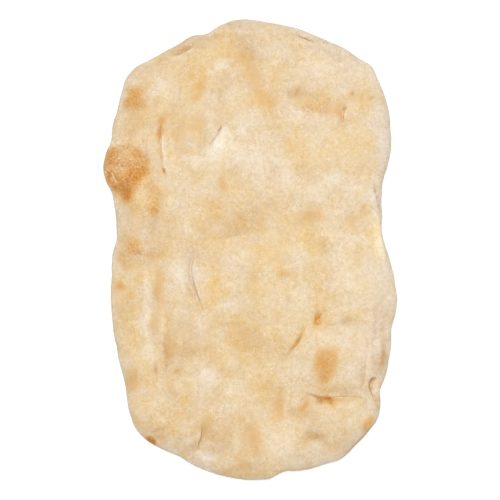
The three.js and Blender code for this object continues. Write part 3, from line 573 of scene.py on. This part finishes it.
def hills(features, x, y):
    return sum(rise * np.exp(-distance_in_feature(x, y, *place)) for _, *place, rise in features)


def bubbles(x, y):
    return sum(
        rise * np.maximum(0, 1 - distance_in_feature(x, y, *place)) ** BUBBLE_FULLNESS
        for _, *place, rise in BUBBLES
    )


def waves(x, y):
    total = 0
    for length, turn, height, phase in WAVES:
        angle = math.radians(turn)
        along = x * math.cos(angle) + y * math.sin(angle)
        total = total + height * np.sin(2 * math.pi * along / length + phase)
    return total


def top_height(x, y):
    return CRUMB_HEIGHT + hills(HILLS, x, y) + bubbles(x, y) + waves(x, y)


def smooth_curve(points, closed, steps):
    """Points of a centripetal Catmull-Rom curve, with the given steps between two of its points."""
    knots = np.array(points, dtype=float)
    if closed:
        padded = np.vstack([knots[-1:], knots, knots[:2]])
    else:
        padded = np.vstack([2 * knots[0] - knots[1], knots, 2 * knots[-1] - knots[-2]])
    t = np.linspace(0, 1, steps, endpoint=False)[:, None]
    pieces = []
    for p0, p1, p2, p3 in zip(padded, padded[1:], padded[2:], padded[3:]):
        s0, s1, s2 = (math.sqrt(math.dist(a, b)) for a, b in ((p0, p1), (p1, p2), (p2, p3)))
        m1 = s1 * ((p1 - p0) / s0 - (p2 - p0) / (s0 + s1) + (p2 - p1) / s1)
        m2 = s1 * ((p2 - p1) / s1 - (p3 - p1) / (s1 + s2) + (p3 - p2) / s2)
        cubic = 2 * p1 - 2 * p2 + m1 + m2
        square = -3 * p1 + 3 * p2 - 2 * m1 - m2
        pieces.append(((cubic * t + square) * t + m1) * t + p1)
    return np.vstack([*pieces, padded[-2:-1]])


def curve_offset(line, x, y):
    """Distance of each place from a line, positive on its left, and share of the way along it."""
    distance = np.full(len(x), np.inf)
    side = np.ones(len(x))
    share = np.zeros(len(x))
    for i, (a, b) in enumerate(zip(line, line[1:])):
        step = b - a
        t = np.clip(((x - a[0]) * step[0] + (y - a[1]) * step[1]) / (step @ step), 0, 1)
        off_x = x - a[0] - t * step[0]
        off_y = y - a[1] - t * step[1]
        off = np.hypot(off_x, off_y)
        closer = off < distance
        distance[closer] = off[closer]
        side[closer] = np.where(step[0] * off_y - step[1] * off_x >= 0, 1, -1)[closer]
        share[closer] = ((i + t) / (len(line) - 1))[closer]
    return side * distance, share


def near_fold(points, x, y):
    """Indices of the places near a fold, their offset from its line and how far the fold has faded there."""
    line = smooth_curve(points, False, FOLD_STEPS)
    low = line.min(axis=0) - FOLD_FIELD
    high = line.max(axis=0) + FOLD_FIELD
    near = np.flatnonzero((x > low[0]) & (x < high[0]) & (y > low[1]) & (y < high[1]))
    offset, share = curve_offset(line, x[near], y[near])
    return near, offset, np.sin(math.pi * share) ** FOLD_TAPER


def flank_width(offset, half):
    return half * np.where(offset > 0, STEEP_FLANK, GENTLE_FLANK)


def fold_relief(x, y):
    """Height of the grooves and of the lips beside them."""
    total = np.zeros(len(x))
    for fold in ALL_FOLDS:
        near, offset, fade = near_fold(fold.points, x, y)
        groove = np.exp(-(np.abs(offset) / flank_width(offset, fold.half)) ** FOLD_SHARPNESS)
        lip = np.where(offset > 0, fold.left_lip, fold.right_lip) * np.exp(-(offset / LIP_REACH) ** 2)
        total[near] += fade * (lip * (1 - groove) - fold.depth * groove)
    return total


def fold_colours(x, y):
    """Browning and painted shade in the grooves, or a painted highlight on a ridge where the value is
    negative, and flour on a lip beside them.
    """
    browned = np.zeros(len(x))
    floured = np.zeros(len(x))
    for fold in ALL_FOLDS:
        near, offset, fade = near_fold(fold.points, x, y)
        width = FOLD_TINT * flank_width(offset, fold.half)
        onto_lip = math.copysign(1, fold.flour) * offset
        lip = smoothstep(0, LIP_FLOUR_START * fold.half, onto_lip) * np.exp(-(offset / LIP_FLOUR_REACH) ** 2)
        # Browning and painted shade in the groove, or a painted highlight where the value is negative
        browned[near] += fold.browning * fade * np.exp(-(offset / width) ** 2)
        floured[near] += abs(fold.flour) * fade * lip
    return browned, floured


def fold_distance(folds, x, y):
    """Distance to the nearest fold's line."""
    nearest = np.full(len(x), np.inf)
    for fold in folds:
        near, offset, _ = near_fold(fold.points, x, y)
        nearest[near] = np.minimum(nearest[near], np.abs(offset))
    return nearest


def outline_ring():
    """The outline's points at even steps along each side, from the lower left corner anticlockwise."""
    sides = list(OUTLINE.values())
    line = smooth_curve([point for side in sides for point in side], True, CURVE_STEPS)
    low = line.min(axis=0)
    high = line.max(axis=0)
    lengths = np.concatenate([[0], np.cumsum(np.hypot(*np.diff(line, axis=0).T))])
    line = (line - (low + high) / 2) * (WIDTH, LENGTH) / (high - low)
    ring = []
    corner = 0
    for side, cells in zip(sides, (CELLS_ACROSS, CELLS_ALONG) * 2):
        end = corner + len(side) * CURVE_STEPS
        stops = np.linspace(lengths[corner], lengths[end], cells, endpoint=False)
        ring.append(np.column_stack([np.interp(stops, lengths, line[:, axis]) for axis in (0, 1)]))
        corner = end
    return np.vstack(ring)


def inset(ring, distance):
    """The ring moved in by a distance, towards the long axis."""
    way = ring * (0, SPINE_SHARE) - ring
    return ring + way * (distance / np.hypot(*way.T))[:, None]


def grid_inside(ring, across, along):
    """Fills a ring with a grid that blends its four sides, as an array of rows from the bottom."""
    closed = np.vstack([ring, ring[:1]])
    bottom = closed[:across + 1]
    right = closed[across:across + along + 1]
    top = closed[across + along:2 * across + along + 1][::-1]
    left = closed[2 * across + along:][::-1]
    u = np.linspace(0, 1, across + 1)[None, :, None]
    v = np.linspace(0, 1, along + 1)[:, None, None]
    sides = (1 - v) * bottom[None] + v * top[None] + (1 - u) * left[:, None] + u * right[:, None]
    corners = (1 - v) * ((1 - u) * bottom[0] + u * bottom[-1]) + v * ((1 - u) * top[0] + u * top[-1])
    return sides - corners


def grid_border(index):
    """A grid's border indices, in the order of the ring that it fills."""
    return np.concatenate([index[0, :-1], index[:-1, -1], index[-1, :0:-1], index[:0:-1, 0]])


def grid_faces(index):
    return np.stack([index[:-1, :-1], index[:-1, 1:], index[1:, 1:], index[1:, :-1]], axis=-1).reshape(-1, 4)


def band_faces(upper, lower):
    return np.stack([upper, lower, np.roll(lower, -1), np.roll(upper, -1)], axis=-1)


def halving_faces(ring, inner):
    """Triangles of the underside between a ring and one inside it with half as many points."""
    first = ring[0::2]
    middle = ring[1::2]
    last = np.roll(first, -1)
    following = np.roll(inner, -1)
    return np.vstack([
        np.stack([middle, first, inner], axis=-1),
        np.stack([middle, inner, following], axis=-1),
        np.stack([last, middle, following], axis=-1),
    ])


class Skin:
    """The skin as it is built up: points, share of the top and of the underside in each, and faces."""

    def __init__(self):
        self.points = np.zeros((0, 3))
        self.top = np.zeros(0)
        self.under = np.zeros(0)
        self.faces = []

    def add(self, plan, z, top, under):
        """Adds points and returns their indices."""
        start = len(self.points)
        count = len(plan)
        self.points = np.vstack([self.points, np.column_stack([plan, np.broadcast_to(z, count)])])
        self.top = np.concatenate([self.top, np.full(count, top)])
        self.under = np.concatenate([self.under, np.full(count, under)])
        return np.arange(start, start + count)


def smooth_skin():
    """The skin before its folds are pressed in: top, rim rounding over, foot rounding under, underside."""
    skin = Skin()
    outline = outline_ring()
    crest = inset(outline, RIM_REACH)
    edge_heights = EDGE_SHARE * top_height(*crest.T)

    grid = grid_inside(crest, CELLS_ACROSS, CELLS_ALONG)
    plan = grid.reshape(-1, 2)
    index = skin.add(plan, top_height(*plan.T), 1, 0).reshape(grid.shape[:2])
    skin.faces.append(grid_faces(index))
    upper = grid_border(index)

    for step in range(RIM_STEPS - 1, -1, -1):
        angle = step / RIM_STEPS * math.pi / 2
        share = math.sin(angle)
        plan = inset(outline, RIM_REACH * (1 - math.cos(angle)))
        lower = skin.add(plan, edge_heights + (top_height(*plan.T) - edge_heights) * share, share, 0)
        skin.faces.append(band_faces(upper, lower))
        upper = lower
    for step in range(1, FOOT_STEPS + 1):
        angle = step / FOOT_STEPS * math.pi / 2
        share = 0 if step == FOOT_STEPS else 1 - math.sin(angle)
        plan = inset(outline, FOOT_REACH * (1 - math.cos(angle)))
        lower = skin.add(plan, edge_heights * share, 0, step / FOOT_STEPS)
        skin.faces.append(band_faces(upper, lower))
        upper = lower

    inner = inset(outline, FOOT_REACH + UNDERSIDE_MARGIN)[::2]
    grid = grid_inside(inner, CELLS_ACROSS // 2, CELLS_ALONG // 2)
    index = skin.add(grid.reshape(-1, 2), 0, 0, 1).reshape(grid.shape[:2])
    skin.faces.append(halving_faces(upper, grid_border(index)))
    skin.faces.append(grid_faces(index)[:, ::-1])
    return skin


def read_floats(items, name, width=1):
    values = np.zeros(len(items) * width, dtype=np.float32)
    items.foreach_get(name, values)
    return values.astype(float).reshape(-1, width).squeeze()


def read_points(mesh):
    return read_floats(mesh.vertices, "co", 3) / MM


def read_attribute(mesh, name):
    return read_floats(mesh.attributes[name].data, "value")


def write_attribute(mesh, name, values):
    attribute = mesh.attributes.new(name, "FLOAT", "POINT")
    attribute.data.foreach_set("value", values.astype(np.float32))


def refine_near_folds(mesh):
    """Halves the edges of the top that are close to a fold, once for each of the fine bands."""
    for reach, widest in FINE_BANDS:
        folds = [fold for fold in ALL_FOLDS if fold.half <= widest]
        points = read_points(mesh)
        top = read_attribute(mesh, "top")
        close = (fold_distance(folds, *points[:, :2].T) < reach) & (top > 0)
        work = bmesh.new()
        work.from_mesh(mesh)
        edges = [edge for edge in work.edges if any(close[vertex.index] for vertex in edge.verts)]
        bmesh.ops.subdivide_edges(work, edges=edges, cuts=1, use_grid_fill=True)
        work.to_mesh(mesh)
        work.free()


def press_relief(mesh):
    """Moves the skin along its normals by its folds, pits and unevenness, and dents the underside."""
    points = read_points(mesh)
    normals = read_floats(mesh.vertex_normals, "vector", 3)
    top = read_attribute(mesh, "top")
    under = read_attribute(mesh, "under")
    x, y, z = points.T
    rough = sum(
        height * lattice_noise(points, size, seed)
        for seed, (size, height) in enumerate(SKIN_BUMPS, start=SKIN_SEED)
    )
    write_attribute(mesh, "rough", rough)
    pressed = fold_relief(x, y) + hills(PITS, x, y)
    above = 1 - smoothstep(*SKIN_FADE, under)
    dents = DENT_DEPTH * np.maximum(0, lattice_noise(points, DENT_SIZE, DENT_SEED)) ** 2
    points += normals * (top * pressed + above * rough)[:, None]
    points[:, 2] += np.where(z == 0, dents, 0)
    mesh.vertices.foreach_set("co", (points * MM).astype(np.float32).ravel())
    mesh.update()


def patch_mask(patches, x, y):
    """Sum of patches that fade out."""
    total = np.zeros(len(x))
    for patch_x, patch_y, across, along, strength, *turn in patches:
        distance = distance_in_feature(x, y, patch_x, patch_y, across, along, *turn)
        total += strength * np.exp(-distance ** PATCH_SHARPNESS)
    return total


def shape_mask(shapes, x, y):
    """Sum of places with a clear edge, their outlines drawn clockwise."""
    total = np.zeros(len(x))
    for _, fade, strength, points in shapes:
        offset, _ = curve_offset(smooth_curve(points, True, FOLD_STEPS), x, y)
        total += strength * smoothstep(-fade / 2, fade / 2, -offset)
    return total


def ragged(points, warp, size, seed):
    """Places seen from above, shifted unevenly so that what is painted by them gets a ragged edge."""
    flat = points * (1, 1, 0)
    return [points[:, axis] + warp * lattice_noise(flat, size, seed + axis) for axis in (0, 1)]


def paint_masks(mesh):
    """Writes the strength of each kind of painted place at each point."""
    points = read_points(mesh)
    under = read_attribute(mesh, "under")
    rough = read_attribute(mesh, "rough")
    place = points[:, :2].T
    patch = ragged(points, *PATCH_WARP)
    mark = ragged(points, *MARK_WARP)
    # Folds: browning and painted shade in the grooves, painted highlight on ridges, flour on the lips
    browned, floured = fold_colours(*place)
    # Dark marks: brown and burnt marks, and painted shade in creases and along the lower right edge
    marks_and_shade = patch_mask(BROWN_MARKS_AND_SHADE, *mark)
    masks = {
        # Browning, with painted highlight streaks and a painted highlight on the ridge of the blister
        "toast_and_highlight": patch_mask(TOAST_AND_HIGHLIGHTS, *patch) + shape_mask(SCORCHED_AND_HIGHLIGHT, *place) + MARK_TOAST * marks_and_shade,
        # Tan with painted shade from folds, dark marks and the hollows of the uneven skin, and painted light
        # on its bumps
        "tan_shade_and_highlight": patch_mask(TAN_SHADE_AND_HIGHLIGHT, *patch) + marks_and_shade + browned - PAINTED_RELIEF_SHADE * rough,
        "gold": patch_mask(GOLD, *patch),
        # Creamy dough with a painted highlight on lips, ridges and the rim
        "cream_and_highlight": patch_mask(CREAM_AND_HIGHLIGHT, *place),
        # Painted cool shade in folds, dips and along the rim
        "cool_shade": patch_mask(COOL_SHADE_PATCHES, *patch),
        "crinkled": patch_mask(CRINKLED, *patch),
        "flour": patch_mask(FLOUR, *patch) + shape_mask(FLOURED, *place) + floured,
    }
    above = 1 - smoothstep(*PAINT_FADE, under)
    for name, mask in masks.items():
        write_attribute(mesh, name, above * mask)


def add_object(name, data):
    thing = bpy.data.objects.new(name, data)
    bpy.context.scene.collection.objects.link(thing)
    return thing


def make_bread():
    skin = smooth_skin()
    mesh = bpy.data.meshes.new("pinsa_skin")
    faces = [face for block in skin.faces for face in block.tolist()]
    mesh.from_pydata((skin.points * MM).tolist(), [], faces)
    write_attribute(mesh, "top", skin.top)
    write_attribute(mesh, "under", skin.under)
    refine_near_folds(mesh)
    press_relief(mesh)
    paint_masks(mesh)
    mesh.shade_smooth()
    return add_object("pinsa_skin", mesh)


class Nodes:
    """A short way to write nodes; inputs are values, sockets, or names of noises or attributes."""

    def __init__(self, material):
        material.use_nodes = True
        self.tree = material.node_tree
        self.shader = self.tree.nodes["Principled BSDF"]
        self.sources = {}

    def source(self, name):
        """Socket of a noise or of an attribute of the mesh, made once."""
        if name not in self.sources:
            self.sources[name] = self.noise(*NOISES[name]) if name in NOISES else self.attribute(name)
        return self.sources[name]

    def fill(self, node, inputs):
        for name, value in inputs.items():
            if isinstance(value, str):
                value = self.source(value)
            if isinstance(value, bpy.types.NodeSocket):
                self.tree.links.new(value, node.inputs[name])
            else:
                node.inputs[name].default_value = value

    def add(self, kind, inputs, **settings):
        node = self.tree.nodes.new(kind)
        for name, value in settings.items():
            setattr(node, name, value)
        self.fill(node, inputs)
        return node

    def attribute(self, name):
        return self.add("ShaderNodeAttribute", {}, attribute_name=name).outputs["Fac"]

    def noise(self, size_mm, detail, roughness):
        place = self.add("ShaderNodeTexCoord", {}).outputs["Object"]
        values = {"Vector": place, "Scale": 1 / (size_mm * MM), "Detail": detail, "Roughness": roughness}
        return self.add("ShaderNodeTexNoise", values).outputs["Fac"]

    def math(self, operation, a, b):
        return self.add("ShaderNodeMath", {0: a, 1: b}, operation=operation).outputs[0]

    def plus(self, a, b):
        return self.math("ADD", a, b)

    def times(self, a, b):
        return self.math("MULTIPLY", a, b)

    def spread(self, value, low, high, to_low, to_high):
        """Maps a range of a value smoothly onto another range."""
        values = {"Value": value, "From Min": low, "From Max": high, "To Min": to_low, "To Max": to_high}
        return self.add("ShaderNodeMapRange", values, interpolation_type="SMOOTHSTEP").outputs["Result"]

    def scale(self, value, low=0, high=1):
        """Maps the middle of a noise's range evenly onto another range."""
        start, end = NOISE_MIDDLE
        values = {"Value": value, "From Min": start, "From Max": end, "To Min": low, "To Max": high}
        return self.add("ShaderNodeMapRange", values, clamp=False).outputs["Result"]

    def blend(self, factor, a, b, kind="MIX"):
        """Blends two colours, by the inputs and the output that a mix node has for colours."""
        first, second = ((*colour, 1) if isinstance(colour, tuple) else colour for colour in (a, b))
        node = self.add("ShaderNodeMix", {0: factor, 6: first, 7: second}, data_type="RGBA", blend_type=kind)
        return node.outputs[2]

    def stain(self, strength, colour, keeps, limit, burnt=None):
        """Darkens a colour by what a stain of strength 1 keeps of it, and by its powers up to a limit."""
        amounts = [limit * step / STAIN_STEPS for step in range(1, STAIN_STEPS + 1)]
        stops = [(amount, tuple(keep ** amount for keep in keeps)) for amount in amounts]
        if burnt:
            stops.append((BURN_STRENGTH, burnt))
        strongest = stops[-1][0]
        node = self.add("ShaderNodeValToRGB", {"Fac": self.math("DIVIDE", strength, strongest)})
        ramp = node.color_ramp.elements
        ramp.remove(ramp[1])
        ramp[0].color = (1, 1, 1, 1)
        for amount, kept in stops:
            ramp.new(amount / strongest).color = (*kept, 1)
        return self.blend(1, colour, node.outputs["Color"], "MULTIPLY")


def dough_colour(nodes):
    """Colour of the bare dough: the side, the top, painted cool shade along its edge and in cool patches,
    and creamy patches with a painted highlight.
    """
    colour = nodes.blend("top", SIDE_COLOUR, DOUGH_COLOUR)
    # Painted cool shade along the rim's edge, fading onto the top and the underside
    edge = nodes.times(nodes.spread("top", *EDGE_SHADE_BY_TOP), nodes.spread("under", *EDGE_SHADE_BY_UNDERSIDE))
    colour = nodes.blend(edge, colour, EDGE_SHADE_COLOUR)
    # Painted cool shade in folds, dips and along the rim
    colour = nodes.blend("cool_shade", colour, COOL_SHADE_COLOUR)
    # Creamy dough with a painted highlight on lips, ridges and the rim
    return nodes.blend("cream_and_highlight", colour, CREAM_AND_HIGHLIGHT_COLOUR)


def bake(nodes, colour):
    """Stains a colour tan with painted shade, golden, and brown with a few painted highlights, and browns
    the underside.
    """
    tan_shade_and_highlight = nodes.plus("tan_shade_and_highlight", nodes.scale("speckle", *TAN_BY_SPECKLE))
    colour = nodes.stain(tan_shade_and_highlight, colour, TAN_SHADE_KEEPS, TAN_SHADE_LIMIT)

    gold = nodes.times("gold", nodes.scale("mottle", *GOLD_BY_MOTTLE))
    gold = nodes.plus(gold, nodes.spread("cloud", *GOLD_BY_CLOUD))
    gold = nodes.plus(gold, nodes.spread("speckle", *GOLD_BY_SPECKLE))
    below = nodes.times("under", nodes.spread("cloud", *UNDERSIDE_GOLD))
    colour = nodes.stain(nodes.plus(gold, below), colour, GOLD_KEEPS, GOLD_LIMIT)

    specks = nodes.times(nodes.scale("crumb", *TOAST_BY_CRUMB), nodes.scale("grain", *TOAST_BY_GRAIN))
    toast_and_highlight = nodes.times("toast_and_highlight", specks)
    below = nodes.times("under", nodes.spread("mottle", *UNDERSIDE_TOAST))
    return nodes.stain(nodes.plus(toast_and_highlight, below), colour, TOAST_KEEPS, TOAST_LIMIT, BURN_KEEPS)


def flour_share(nodes):
    """Share of the flour: the floured patches and a thin dust, but none on what is browned."""
    flour = nodes.times("flour", nodes.scale("crumb", *FLOUR_BY_CRUMB))
    flour = nodes.plus(flour, nodes.spread("mottle", *DUST_BY_MOTTLE))
    return nodes.times(flour, nodes.spread("toast_and_highlight", *FLOUR_BY_TOAST))


def grain(nodes, colour, flour):
    """Gives a colour its fine grain, weaker on flour, and the crinkles of browned skin: speckled browning
    with their light and shade painted in.
    """
    bare = nodes.spread(flour, *GRIT_BY_FLOUR)
    grit = nodes.times(nodes.scale("grain", *GRIT_BY_GRAIN), nodes.spread("mottle", *GRIT_BY_MOTTLE))
    grit = nodes.blend(nodes.plus(grit, GRIT_MIDDLE), GRAIN_DARK, GRAIN_LIGHT)
    colour = nodes.blend(bare, colour, grit, "MULTIPLY")
    crumbs = nodes.blend(nodes.scale("crumb"), CRUMB_DARK, CRUMB_LIGHT)
    colour = nodes.blend(bare, colour, crumbs, "MULTIPLY")

    crinkles = nodes.blend(nodes.scale("crinkle"), CRINKLE_DARK, CRINKLE_LIGHT)
    share = nodes.plus("crinkled", nodes.spread("toast_and_highlight", *CRINKLE_BY_TOAST))
    share = nodes.plus(share, nodes.spread("tan_shade_and_highlight", *CRINKLE_BY_TAN))
    return nodes.blend(share, colour, crinkles, "MULTIPLY")


def crust_material():
    material = bpy.data.materials.new("baked_crust")
    nodes = Nodes(material)
    flour = flour_share(nodes)
    colour = nodes.blend(flour, bake(nodes, dough_colour(nodes)), FLOUR_COLOUR)
    relief = nodes.plus(nodes.times("crumb", BUMP_CRUMB_SHARE), nodes.times("grain", BUMP_GRAIN_SHARE))
    bump = nodes.add(
        "ShaderNodeBump", {"Strength": BUMP_STRENGTH, "Distance": BUMP_DEPTH * MM, "Height": relief}
    )
    nodes.fill(nodes.shader, {
        "Base Color": grain(nodes, colour, flour),
        "Roughness": nodes.spread("mottle", *ROUGHNESS_BY_MOTTLE),
        "Normal": bump.outputs["Normal"],
        "Specular IOR Level": CRUST_SPECULAR,
    })
    return material


def make_floor():
    mesh = bpy.data.meshes.new("floor")
    reach = FLOOR_REACH * MM
    z = -FLOOR_DROP * MM
    corners = [(-reach, -reach, z), (reach, -reach, z), (reach, reach, z), (-reach, reach, z)]
    mesh.from_pydata(corners, [], [(0, 1, 2, 3)])
    material = bpy.data.materials.new("pale_floor")
    nodes = Nodes(material)
    nodes.fill(nodes.shader, {
        "Base Color": (*FLOOR_COLOUR, 1),
        "Roughness": FLOOR_ROUGHNESS,
        "Specular IOR Level": 0,
        "Emission Color": (1, 1, 1, 1),
        "Emission Strength": FLOOR_GLOW,
    })
    mesh.materials.append(material)
    return add_object("floor", mesh)


def make_lights():
    world = bpy.data.worlds.new("studio")
    world.use_nodes = True
    sky = world.node_tree.nodes["Background"]
    sky.inputs["Color"].default_value = SKY_COLOUR
    sky.inputs["Strength"].default_value = SKY_STRENGTH
    bpy.context.scene.world = world

    light = bpy.data.lights.new("key", "AREA")
    light.shape = "DISK"
    light.size = KEY_SIZE
    light.energy = KEY_WATTS
    key = add_object("key", light)
    key.location = KEY_PLACE
    key.rotation_euler = Vector(KEY_PLACE).to_track_quat("Z", "Y").to_euler()


def make_camera():
    scale = LENGTH * MM / BREAD_PIXELS
    data = bpy.data.cameras.new("camera")
    data.sensor_width = SENSOR
    data.lens = SENSOR * CAMERA_DISTANCE / (PICTURE_PIXELS * scale)
    camera = add_object("camera", data)
    down = (PICTURE_PIXELS / 2 - BREAD_MIDDLE_ROW) * scale
    camera.location = (0, -down, EDGE_SHARE * CRUMB_HEIGHT * MM + CAMERA_DISTANCE)
    bpy.context.scene.camera = camera


bread = make_bread()
bread.data.materials.append(crust_material())
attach(bread, "root")
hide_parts("pinsa_base")
make_floor()
make_lights()
make_camera()
bpy.context.scene.view_settings.view_transform = "Standard"
